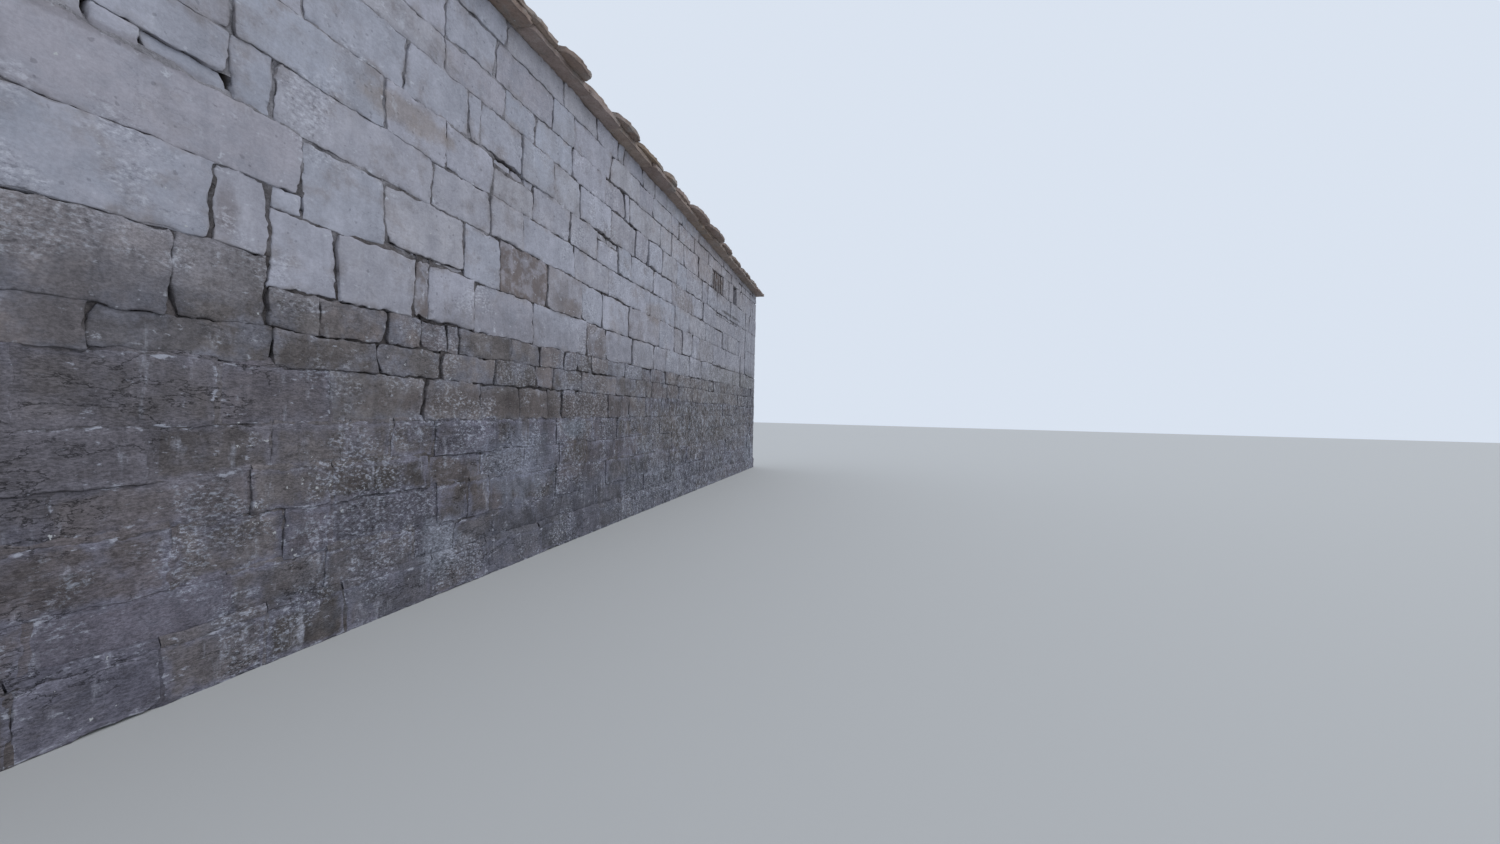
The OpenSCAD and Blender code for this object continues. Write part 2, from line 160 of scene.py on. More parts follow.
def blocks_of(node):
    """The separate solids of a node, each as its points, in order from the foot upwards and along the wall."""
    soup = bmesh.new()
    soup.from_mesh(nodes[node].data)
    bmesh.ops.remove_doubles(soup, verts=soup.verts, dist=1e-5)
    left = set(soup.verts)
    solids = []
    while left:
        todo = [next(iter(left))]
        solid = set(todo)
        while todo:
            for edge in todo.pop().link_edges:
                for v in edge.verts:
                    if v not in solid:
                        solid.add(v)
                        todo.append(v)
        left -= solid
        solids.append(np.array([v.co for v in solid]))
    soup.free()
    return sorted(solids, key=lambda co: tuple(np.round(co.min(0)[[2, 0, 1]], 3)))


ARRIS_STEPS = np.array([0.0, 0.3, 1.0, 2.0])
EDGE_ORDERS, WIDEST_EDGE = (1, 2, 4, 7, 11), 2.1
BREAK_REACH, BREAK_DEPTH = (0.020, 0.070), (0.2, 0.45)
WEDGE_WIDTH = (0.010, 0.030)


def grid_lines(length, arris, spacing):
    """Distances across a face: close together at the two arrises and even between them."""
    edge = ARRIS_STEPS * min(arris, length / 8)
    inner = length - 2 * edge[-1]
    count = max(1, round(inner / spacing))
    middle = edge[-1] + inner * np.arange(1, count) / count
    return np.concatenate([edge, middle, length - edge[::-1]])


def ragged(rng, count, least, most):
    """How far one edge of a stone stays inside its bed or joint, from end to end; most edges stay close to it."""
    t = np.linspace(0, 1, count)
    wave = sum(np.sin(2 * np.pi * (rng.uniform(0.5, 1.2) * k * t + rng.random())) / k ** 0.6 for k in EDGE_ORDERS)
    return least + (most - least) * WIDEST_EDGE * rng.random() ** 2 * np.clip(0.5 + 0.25 * wave, 0, 1)


def block_mesh(rng, c, front, rear, look):
    """One closed stone with a dressed front, and a dressed rear too where both_faces asks for it."""
    width = (c[1][0] - c[0][0] + c[2][0] - c[3][0]) / 2
    height = (c[3][1] - c[0][1] + c[2][1] - c[1][1]) / 2
    arris = min(rng.uniform(*look["arris"]), 0.2 * min(width, height))
    xs = grid_lines(width, arris, look["spacing"])
    zs = grid_lines(height, arris, look["spacing"])
    nu, nv = len(xs), len(zs)
    a = (xs - width / 2)[:, None] * np.ones(nv)
    b = (zs - height / 2)[None, :] * np.ones((nu, 1))
    da, db = width / 2 - abs(a), height / 2 - abs(b)
    edge = np.minimum(da, db)
    radius = min(rng.uniform(*look["corner"]), 0.3 * min(width, height))
    qa, qb = np.maximum(radius - da, 0), np.maximum(radius - db, 0)
    both = (qa > 0) & (qb > 0)
    pull = np.where(both, np.maximum(qa, qb) / np.maximum(np.hypot(qa, qb), 1e-9), 1.0)
    a = np.sign(a) * np.where(both, width / 2 - radius + qa * pull, abs(a))
    b = np.sign(b) * np.where(both, height / 2 - radius + qb * pull, abs(b))
    u, v = a / width + 0.5, b / height + 0.5
    shares = ((1 - u) * (1 - v), u * (1 - v), u * v, (1 - u) * v)
    x, z = [sum(share * corner[axis] for share, corner in zip(shares, c)) for axis in (0, 1)]
    joint, bed = look["joint_inset"], look["bed_inset"]
    x = x + (1 - u) ** 2 * ragged(rng, nv, *joint)[None, :] - u ** 2 * ragged(rng, nv, *joint)[None, :]
    z = z + (1 - v) ** 2 * ragged(rng, nu, *bed)[:, None] - v ** 2 * ragged(rng, nu, *bed)[:, None]
    for k in range(4):
        if rng.random() < look["broken"]:
            reach = rng.uniform(*BREAK_REACH)
            bite = rng.uniform(*BREAK_DEPTH) * reach * np.exp(-((x - c[k][0]) ** 2 + (z - c[k][1]) ** 2) / reach ** 2)
            x = x + bite * np.sign(c[(k + 2) % 4][0] - c[k][0])
            z = z + 0.6 * bite * np.sign(c[(k + 2) % 4][1] - c[k][1])
    for sign, reach in ((1, 1 - u), (-1, u)):
        if rng.random() < look["wedge"]:
            x = x + sign * rng.uniform(*WEDGE_WIDTH) * reach ** 4 * (v if rng.random() < 0.5 else 1 - v) ** 3
    near = np.clip(1 - edge / arris, 0, 1)
    drop = arris * (1 - np.sqrt(1 - near ** 2))
    tilt = rng.normal(0, look["tilt"], 2)
    swell = look["swell"] * (1 - (2 * u - 1) ** 4) * (1 - (2 * v - 1) ** 4)
    y = front + look["swell"] + drop + tilt[0] * (u - 0.5) + tilt[1] * (v - 0.5) - swell
    face = np.stack([x, y, z], -1).reshape(-1, 3)
    worn_face = np.clip(1 - edge / (2.5 * arris), 0, 1)
    index = np.arange(nu * nv).reshape(nu, nv)
    ring = np.concatenate([index[:, 0], index[-1, 1:], index[-2::-1, -1], index[0, -2:0:-1]])
    points, worn, shown, rim = [face], [worn_face.ravel()], [np.ones(nu * nv)], [edge.ravel()]
    quads = [np.stack([index[:-1, :-1], index[1:, :-1], index[1:, 1:], index[:-1, 1:]], -1).reshape(-1, 4)]
    tris = []
    total = nu * nv

    def add(co, worn_here, shown_here, rim_here=0.0):
        nonlocal total
        fresh = np.arange(total, total + len(co))
        points.append(co)
        worn.append(worn_here * np.ones(len(co)))
        shown.append(shown_here * np.ones(len(co)))
        rim.append(rim_here * np.ones(len(co)))
        total += len(co)
        return fresh

    def band(first, second):
        quads.append(np.stack([first, second, np.roll(second, -1), np.roll(first, -1)], -1))

    border = face[ring]
    if look["both_faces"]:
        last = ring
        steps = grid_lines(rear - front - 2 * arris, arris, look["side_spacing"])[1:-1] / (rear - front - 2 * arris)
        for share in steps:
            here = border.copy()
            here[:, 1] = border[:, 1] * (1 - share) + (rear - arris) * share
            fresh = add(here, 0.3, 1.0, min(share, 1 - share) * (rear - front))
            band(last, fresh)
            last = fresh
        back = np.stack([x, rear - drop, z], -1).reshape(-1, 3)
        inside = np.zeros((nu, nv), bool)
        inside[1:-1, 1:-1] = True
        fresh = add(back[ring], 1.0, 1.0)
        band(last, fresh)
        rear_index = np.zeros((nu, nv), int)
        rear_index.reshape(-1)[ring] = fresh
        rear_index[inside] = add(back[inside.ravel()], worn_face[inside], 1.0, edge[inside])
        i = rear_index
        quads.append(np.stack([i[:-1, :-1], i[:-1, 1:], i[1:, 1:], i[1:, :-1]], -1).reshape(-1, 4))
    else:
        here = border.copy()
        here[:, 1] += look["side"]
        last = add(here, 0.5, 0.2)
        band(ring, last)
        tail = add(np.array([[p[0], rear, p[1]] for p in c]), 0.0, 0.0)
        n = len(ring)
        turns = [0, nu - 1, nu + nv - 2, 2 * nu + nv - 3, n]
        for k in range(4):
            for i in range(turns[k], turns[k + 1]):
                tris.append((last[i], tail[k], last[(i + 1) % n]))
            tris.append((last[turns[k + 1] % n], tail[k], tail[(k + 1) % 4]))
        quads.append(tail[[0, 3, 2, 1]][None])
    return {
        "points": np.concatenate(points), "quads": np.concatenate(quads), "tris": np.array(tris, int).reshape(-1, 3),
        "worn": np.concatenate(worn), "shown": np.concatenate(shown), "rim": np.concatenate(rim),
    }


def joined(name, parts):
    """One mesh from many stones; the wear, the distance from the arris, the tone and the zone stay on its points."""
    starts = np.cumsum([0] + [len(p["points"]) for p in parts])
    points = np.concatenate([p["points"] for p in parts])
    quads = np.concatenate([p["quads"] + s for p, s in zip(parts, starts)])
    tris = np.concatenate([p["tris"] + s for p, s in zip(parts, starts)])
    mesh = bpy.data.meshes.new(name)
    mesh.vertices.add(len(points))
    mesh.vertices.foreach_set("co", points.ravel())
    loops = np.concatenate([quads.ravel(), tris.ravel()])
    mesh.loops.add(len(loops))
    mesh.loops.foreach_set("vertex_index", loops)
    mesh.polygons.add(len(quads) + len(tris))
    first = np.concatenate([4 * np.arange(len(quads)), 4 * len(quads) + 3 * np.arange(len(tris))])
    mesh.polygons.foreach_set("loop_start", first)
    mesh.polygons.foreach_set("use_smooth", np.ones(len(first), bool))
    for label in ("worn", "shown", "rim", "tone", "zone", "stain"):
        values = np.concatenate([p.get(label, 0.0) * np.ones(len(p["points"])) for p in parts])
        mesh.attributes.new(label, "FLOAT", "POINT").data.foreach_set("value", values.astype(np.float32))
    mesh.update(calc_edges=True)
    return mesh


# Rough skin. Geometry nodes push the shown skin of the stones in and out, split it along its bedding and knock chips
# off its arrises, and give each stone the material of its zone. The class below holds short names for the nodes of
# any tree: each value given may be a number, a colour or the output of another node.
class Wiring:
    def __init__(self, tree):
        self.tree = tree

    def node(self, kind, *given, **settings):
        made = self.tree.nodes.new(kind)
        for name, value in settings.items():
            setattr(made, name, value)
        for socket, value in zip(made.inputs, given):
            self.put(socket, value)
        return made

    def put(self, socket, value):
        if isinstance(value, bpy.types.NodeSocket):
            self.tree.links.new(value, socket)
        elif value is not None:
            socket.default_value = value

    def maths(self, operation, *given):
        return self.node("ShaderNodeMath", *given, operation=operation).outputs[0]

    def times(self, product, *others):
        for other in others:
            product = self.maths("MULTIPLY", product, other)
        return product

    def vector(self, operation, *given):
        made = self.node("ShaderNodeVectorMath", operation=operation)
        for socket, value in zip([s for s in made.inputs if s.enabled], given):
            self.put(socket, value)
        return [s for s in made.outputs if s.enabled][0]

    def noise(self, place, scale, detail=2.0, own=None, rough=0.5):
        made = self.node("ShaderNodeTexNoise", noise_dimensions="3D" if own is None else "4D")
        for name, value in (("Vector", place), ("Scale", scale), ("Detail", detail), ("Roughness", rough)):
            self.put(made.inputs[name], value)
        if own is not None:
            self.put(made.inputs["W"], own)
        return made.outputs["Fac"]

    def cells(self, place, scale):
        """Distance from the nearest cell's middle, and one random colour per cell."""
        made = self.node("ShaderNodeTexVoronoi", place)
        self.put(made.inputs["Scale"], scale)
        return made.outputs["Distance"], made.outputs["Color"]

    def fade(self, value, start, stop, low=0.0, high=1.0):
        """Runs smoothly from low at start to high at stop."""
        made = self.node("ShaderNodeMapRange", interpolation_type="SMOOTHSTEP")
        for name, given in zip(("Value", "From Min", "From Max", "To Min", "To Max"), (value, start, stop, low, high)):
            self.put(made.inputs[name], given)
        return made.outputs["Result"]

    def blend(self, share, first, second, how="MIX"):
        made = self.node("ShaderNodeMix", data_type="RGBA", blend_type=how)
        for socket, value in ((made.inputs[0], share), (made.inputs[6], first), (made.inputs[7], second)):
            self.put(socket, value)
        return made.outputs[2]

    def ramp(self, value, stops):
        """Colours along value, each stop given as its place from 0 to 1 and its colour."""
        made = self.node("ShaderNodeValToRGB", value)
        bars = made.color_ramp.elements
        while len(bars) < len(stops):
            bars.new(0.5)
        for bar, (place, colour) in zip(bars, stops):
            bar.position = place
        for bar, (place, colour) in zip(bars, stops):
            bar.color = colour
        return made.outputs["Color"]


ZONES = ("base_stone", "brown_stone", "pale_grey_stone")
BASE, BROWN, PALE = range(3)
LOWEST_PLACE = (-100.0, -100.0, 0.0)

skin_tree = bpy.data.node_groups.new("rough_skin", "GeometryNodeTree")
skin_tree.is_modifier = True
skin_tree.interface.new_socket("Geometry", in_out="INPUT", socket_type="NodeSocketGeometry")
for label, value in (
    ("Swell Depth", 0.008), ("Swell Size", 0.20), ("Pit Depth", 0.004), ("Pit Size", 0.045), ("Bedding Depth", 0.004),
    ("Bedding Size", 0.05), ("Chip Depth", 0.026), ("Chip Size", 0.05), ("Wander Depth", 0.042), ("Wander Size", 0.4),
    ("Seed", 3.0),
):
    skin_tree.interface.new_socket(label, in_out="INPUT", socket_type="NodeSocketFloat").default_value = value
for label in ZONES:
    skin_tree.interface.new_socket(label, in_out="INPUT", socket_type="NodeSocketMaterial")
skin_tree.interface.new_socket("Geometry", in_out="OUTPUT", socket_type="NodeSocketGeometry")
skin = Wiring(skin_tree)
given = skin.node("NodeGroupInput").outputs


def stored(label):
    return skin.node("GeometryNodeInputNamedAttribute", label, data_type="FLOAT").outputs["Attribute"]


# Each stone has a relief of its own, but at the foot, where lichen covers the joints, it runs on from stone to stone
place = skin.node("GeometryNodeInputPosition").outputs[0]
own = skin.times(skin.maths("MULTIPLY_ADD", stored("tone"), 91.7, given["Seed"]), stored("zone"))


def relief(size, depth, detail, stretch=(1, 1, 1)):
    spot = skin.vector("MULTIPLY", place, stretch)
    height = skin.noise(spot, skin.maths("DIVIDE", 1.0, given[size]), detail, own)
    return skin.times(skin.maths("SUBTRACT", height, 0.5), skin.times(given[depth], 2.0))


push = skin.maths("ADD", relief("Swell Size", "Swell Depth", 1.0), relief("Pit Size", "Pit Depth", 2.0))
push = skin.maths("ADD", push, relief("Bedding Size", "Bedding Depth", 1.0, (0.25, 0.25, 1.6)))
bite = skin.noise(place, skin.maths("DIVIDE", 1.0, given["Chip Size"]), 2.0, own)
bite = skin.maths("MAXIMUM", skin.maths("SUBTRACT", bite, 0.5), 0.0)
bite = skin.times(bite, given["Chip Depth"], skin.times(stored("worn"), 4.0))
push = skin.times(skin.maths("SUBTRACT", push, bite), stored("shown"))
along = skin.node("ShaderNodeVectorMath", skin.node("GeometryNodeInputNormal").outputs[0], operation="SCALE")
skin.put(along.inputs["Scale"], push)
shape = skin.node("GeometryNodeSetPosition", given["Geometry"])
skin.put(shape.inputs["Offset"], along.outputs[0])
wander = skin.node("ShaderNodeTexNoise", place)
for label, value in (("Scale", skin.maths("DIVIDE", 1.0, given["Wander Size"])), ("Detail", 5.0), ("Roughness", 0.76)):
    skin.put(wander.inputs[label], value)
aside = skin.vector("SUBTRACT", wander.outputs["Color"], (0.5, 0.5, 0.5))
aside = skin.vector("MULTIPLY", aside, (2.0, 0.0, 2.0))
level = skin.node("ShaderNodeSeparateXYZ", place).outputs["Z"]
scaled = skin.node("ShaderNodeVectorMath", aside, operation="SCALE")
skin.put(scaled.inputs["Scale"], skin.times(given["Wander Depth"], skin.fade(level, 0.0, 0.15)))
shape = skin.node("GeometryNodeSetPosition", shape.outputs[0])
skin.put(shape.inputs["Offset"], scaled.outputs[0])
shape = skin.node("GeometryNodeSetPosition", shape.outputs[0])
skin.put(shape.inputs["Position"], skin.vector("MAXIMUM", place, LOWEST_PLACE))
shape = skin.node("GeometryNodeRealizeInstances", shape.outputs[0])
for zone, label in enumerate(ZONES):
    chosen = skin.node("FunctionNodeCompare", data_type="FLOAT", operation="EQUAL")
    skin.put(chosen.inputs[0], stored("zone"))
    skin.put(chosen.inputs[1], float(zone))
    skin.put(chosen.inputs["Epsilon"], 0.25)
    shape = skin.node("GeometryNodeSetMaterial", shape.outputs[0], chosen.outputs[0])
    skin.put(shape.inputs["Material"], given[label])
skin.node("NodeGroupOutput", shape.outputs[0])


def weathered(name, mesh, coats, **depths):
    """Runs the rough skin over a mesh and gives back the finished piece, riding on the wall."""
    raw = bpy.data.objects.new(name + "_raw", mesh)
    bpy.context.scene.collection.objects.link(raw)
    rough = raw.modifiers.new("skin", "NODES")
    rough.node_group = skin_tree
    sockets = {s.name: s.identifier for s in skin_tree.interface.items_tree if s.in_out == "INPUT"}
    for label, coat in zip(ZONES, coats):
        rough[sockets[label]] = coat
    for label, value in depths.items():
        rough[sockets[label.replace("_", " ").title()]] = value
    done = bpy.data.meshes.new_from_object(raw.evaluated_get(bpy.context.evaluated_depsgraph_get()))
    done.name = name
    bpy.data.objects.remove(raw)
    piece = bpy.data.objects.new(name, done)
    bpy.context.scene.collection.objects.link(piece)
    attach(piece, "root")
    return piece


# Shared shader groups. Each puts out a colour or a height that the materials build on: the grain of the sandstone,
# patches and crusts of lichen, small pale spots of it, and stains, together with patches of painted light and shade.
def tint(code):
    """A colour given as RRGGBB, the way a paint chart gives it, in linear light."""
    parts = [int(code[i:i + 2], 16) / 255 for i in (0, 2, 4)]
    return (*[p / 12.92 if p <= 0.04045 else ((p + 0.055) / 1.055) ** 2.4 for p in parts], 1.0)


def shader_group(name, inputs, outputs):
    tree = bpy.data.node_groups.new(name, "ShaderNodeTree")
    kinds = {"colour": "NodeSocketColor", "value": "NodeSocketFloat", "vector": "NodeSocketVector"}
    for label, kind, value in inputs:
        socket = tree.interface.new_socket(label, in_out="INPUT", socket_type=kinds[kind])
        if value is not None:
            socket.default_value = value
    for label, kind in outputs:
        tree.interface.new_socket(label, in_out="OUTPUT", socket_type=kinds[kind])
    wiring = Wiring(tree)
    return tree, wiring, wiring.node("NodeGroupInput").outputs, wiring.node("NodeGroupOutput").inputs


# grain: mottling that differs from stone to stone, flaked patches, streaks, pits and short cracks along the bedding.
# Its sizes, and those of the lichen, are numbers of waves or cells in a metre.
BROAD_GRAIN, MIDDLE_GRAIN, FINE_GRAIN = 3.5, 10.0, 55.0
FLAKES, STREAKS, CRACKS, CRACKED_PARTS, PITS, PIT_OUTLINE = 6.0, 6.5, 2.3, 2.1, 26.0, 35.0
grain_tree, w, given, result = shader_group(
    "sandstone_grain",
    [("Vector", "vector", None), ("Own", "value", 0.0), ("Bedding", "value", 0.5)],
    [("Mottle", "value"), ("Fine", "value"), ("Flake", "value"), ("Crack", "value"), ("Streak", "value"),
     ("Pit", "value"), ("Height", "value")],
)
stretch = w.node("ShaderNodeCombineXYZ", 1.0, 1.0, w.maths("MULTIPLY_ADD", given["Bedding"], 1.6, 1.0)).outputs[0]
laid = w.vector("MULTIPLY", given["Vector"], stretch)
broad = w.noise(given["Vector"], BROAD_GRAIN, 3.0, given["Own"], 0.55)
middle = w.noise(laid, MIDDLE_GRAIN, 7.0, given["Own"], 0.68)
fine = w.noise(laid, FINE_GRAIN, 4.0, None, 0.8)
w.put(result["Mottle"], w.times(w.maths("ADD", broad, middle), 0.5))
w.put(result["Fine"], fine)
flake = w.fade(w.noise(given["Vector"], FLAKES, 7.0, given["Own"], 0.62), 0.50, 0.53)
w.put(result["Flake"], flake)
dashes = w.noise(w.vector("MULTIPLY", given["Vector"], (1.0, 1.0, 4.0)), STREAKS, 5.0, given["Own"], 0.62)
contour = w.noise(w.vector("MULTIPLY", given["Vector"], (1.0, 1.0, 2.4)), CRACKS, 7.0, None, 0.62)
contour = w.maths("ABSOLUTE", w.maths("SUBTRACT", contour, 0.5))
cracked = w.fade(w.noise(given["Vector"], CRACKED_PARTS, 3.0), 0.49, 0.57)
crack = w.times(w.fade(contour, 0.002, 0.009, 1.0, 0.0), cracked, given["Bedding"])
w.put(result["Crack"], crack)
w.put(result["Streak"], w.times(w.fade(dashes, 0.58, 0.66), given["Bedding"]))
bent = w.node("ShaderNodeTexNoise", given["Vector"])
bent.inputs["Scale"].default_value = PIT_OUTLINE
shifted = w.vector("ADD", given["Vector"], w.vector("SCALE", bent.outputs["Color"], 0.03))
far, chance = w.cells(shifted, PITS)
chance = w.fade(w.node("ShaderNodeSeparateColor", chance).outputs[0], 0.72, 1.0, 0.0, 0.34)
pit = w.fade(w.maths("SUBTRACT", chance, far), 0.0, 0.12)
w.put(result["Pit"], pit)
height = w.maths("MULTIPLY_ADD", fine, 0.35, w.times(middle, 0.6))
height = w.maths("MULTIPLY_ADD", pit, -0.35, height)
height = w.maths("MULTIPLY_ADD", flake, 0.12, height)
w.put(result["Height"], w.maths("MULTIPLY_ADD", crack, -0.5, height))

# mottle: patches where small flecks of lichen stand close together on the stone, denser towards the far end
LICHEN_PATCHES, LICHEN_FLECKS, FAR_FLECKS = 1.7, 48.0, 21.0
mottle_tree, w, given, result = shader_group(
    "lichen_mottle",
    [("Vector", "vector", None), ("Under", "colour", None), ("Fleck", "colour", None), ("Amount", "value", 0.4),
     ("Strength", "value", 0.6), ("Dark", "value", 0.4), ("Far", "value", 1.0)],
    [("Colour", "colour"), ("Mask", "value")],
)
black_lichen = tint("37353a")
level = w.noise(given["Vector"], LICHEN_PATCHES, 6.0, None, 0.62)
along, across, _ = w.node("ShaderNodeSeparateXYZ", given["Vector"]).outputs
level = w.maths("ADD", level, w.fade(along, -3.0, 3.0, 0.0, 0.07))
line = w.maths("SUBTRACT", 1.0, given["Amount"])
there = w.fade(level, line, w.maths("ADD", line, 0.07))
flecks = w.noise(w.vector("MULTIPLY", given["Vector"], (0.75, 1.0, 1.2)), LICHEN_FLECKS, 4.0, None, 0.74)
pale = w.times(w.fade(flecks, 0.51, 0.60), there, given["Strength"])
dark = w.times(w.fade(flecks, 0.46, 0.36), there, given["Dark"])
colour = w.blend(pale, w.blend(dark, given["Under"], black_lichen), given["Fleck"])
broad = w.noise(w.vector("MULTIPLY", given["Vector"], (1.0, 1.0, 0.62)), FAR_FLECKS, 5.0, None, 0.90)
far = w.times(w.fade(across, -0.3, -0.1, 1.0, 0.4), given["Far"], w.fade(along, -1.5, 3.0))
dark = w.times(w.fade(broad, 0.50, 0.38), far, given["Dark"])
pale_far = w.times(w.fade(broad, 0.50, 0.62), far, given["Strength"])
colour = w.blend(w.times(pale_far, 0.8), w.blend(dark, colour, black_lichen), given["Fleck"])
w.put(result["Colour"], colour)
w.put(result["Mask"], w.maths("MAXIMUM", pale, pale_far))

# crust: a patchy colour over another, that can keep to the arrises
crust_tree, w, given, result = shader_group(
    "lichen_crust",
    [("Vector", "vector", None), ("Under", "colour", None), ("Crust", "colour", None), ("Amount", "value", 0.5),
     ("Scale", "value", 6.0), ("Edge", "value", 0.06), ("Rim", "value", 0.0), ("Rim Width", "value", 0.05),
     ("Rim Share", "value", 0.5)],
    [("Colour", "colour"), ("Mask", "value")],
)
patch = w.noise(given["Vector"], given["Scale"], 6.0, None, 0.68)
near = w.fade(given["Rim"], 0.0, given["Rim Width"], 1.0, 0.0)
level = w.maths("MULTIPLY_ADD", near, given["Rim Share"], patch)
line = w.maths("SUBTRACT", 1.0, given["Amount"])
mask = w.fade(level, line, w.maths("ADD", line, given["Edge"]))
w.put(result["Colour"], w.blend(mask, given["Under"], given["Crust"]))
w.put(result["Mask"], mask)

# spots: scattered round lichens of different sizes
SPOT_OUTLINE = 55.0
spot_tree, w, given, result = shader_group(
    "lichen_spots",
    [("Vector", "vector", None), ("Under", "colour", None), ("Spot", "colour", None), ("Scale", "value", 18.0),
     ("Amount", "value", 0.3), ("Where", "value", 1.0)],
    [("Colour", "colour"), ("Mask", "value")],
)
bent = w.node("ShaderNodeTexNoise", given["Vector"])
bent.inputs["Scale"].default_value = SPOT_OUTLINE
bent.inputs["Detail"].default_value = 3.0
shifted = w.vector("ADD", given["Vector"], w.vector("SCALE", bent.outputs["Color"], 0.045))
far, chance = w.cells(shifted, given["Scale"])
least = w.maths("SUBTRACT", 1.0, given["Amount"])
size = w.fade(w.node("ShaderNodeSeparateColor", chance).outputs[0], least, 1.0, 0.0, 0.34)
size = w.times(size, given["Where"])
mask = w.fade(w.maths("SUBTRACT", size, far), 0.0, 0.08)
w.put(result["Colour"], w.blend(mask, given["Under"], given["Spot"]))
w.put(result["Mask"], mask)

# stain: a soft patch of another colour about one place on the wall, with a ragged edge; it paints real stains and also
# some patches of painted light and shade
stain_and_painted_light_tree, w, given, result = shader_group(
    "stain",
    [("Vector", "vector", None), ("Under", "colour", None), ("Stain", "colour", None), ("Centre", "vector", None),
     ("Reach", "vector", None), ("Strength", "value", 0.5)],
    [("Colour", "colour")],
)
away = w.vector("DIVIDE", w.vector("SUBTRACT", given["Vector"], given["Centre"]), given["Reach"])
away = w.node("ShaderNodeVectorMath", away, operation="LENGTH").outputs["Value"]
away = w.maths("MULTIPLY_ADD", w.noise(given["Vector"], 7.0, 5.0, None, 0.65), 1.6, away)
mask = w.times(w.fade(away, 1.35, 2.0, 1.0, 0.0), given["Strength"])
w.put(result["Colour"], w.blend(mask, given["Under"], given["Stain"]))


# Stone materials. One recipe gives each zone its own run of stone colours, its own share of lichen, its own darker
# line along the arrises and its own painted shade on the stone sides that stand back in the joints; the joints are
# dark because they hold earth. A stone whose stain is above 0 is browner than its neighbours, and one whose stain is
# below 0 has more lichen.
BROWNER, PALE_SPOT = tint("685c56"), tint("b9babb")
HANGING = (1.0, 1.0, 0.32)
CRUST_LOOK = {"Scale": 4.0, "Edge": 0.22, "Rim_Width": 0.06}
DRIP_LOOK = {"Scale": 9.0, "Edge": 0.18, "Rim_Share": 0.0}
FILM_LOOK = {"Scale": 14.0, "Edge": 0.09, "Rim_Width": 0.03}
SPOT_SCALE = 38.0
BUMP_DISTANCE = 0.02


def group_node(w, tree, **given):
    """A shader group with its inputs given by name."""
    made = w.node("ShaderNodeGroup", node_tree=tree)
    for label, value in given.items():
        w.put(made.inputs[label.replace("_", " ")], value)
    return made.outputs


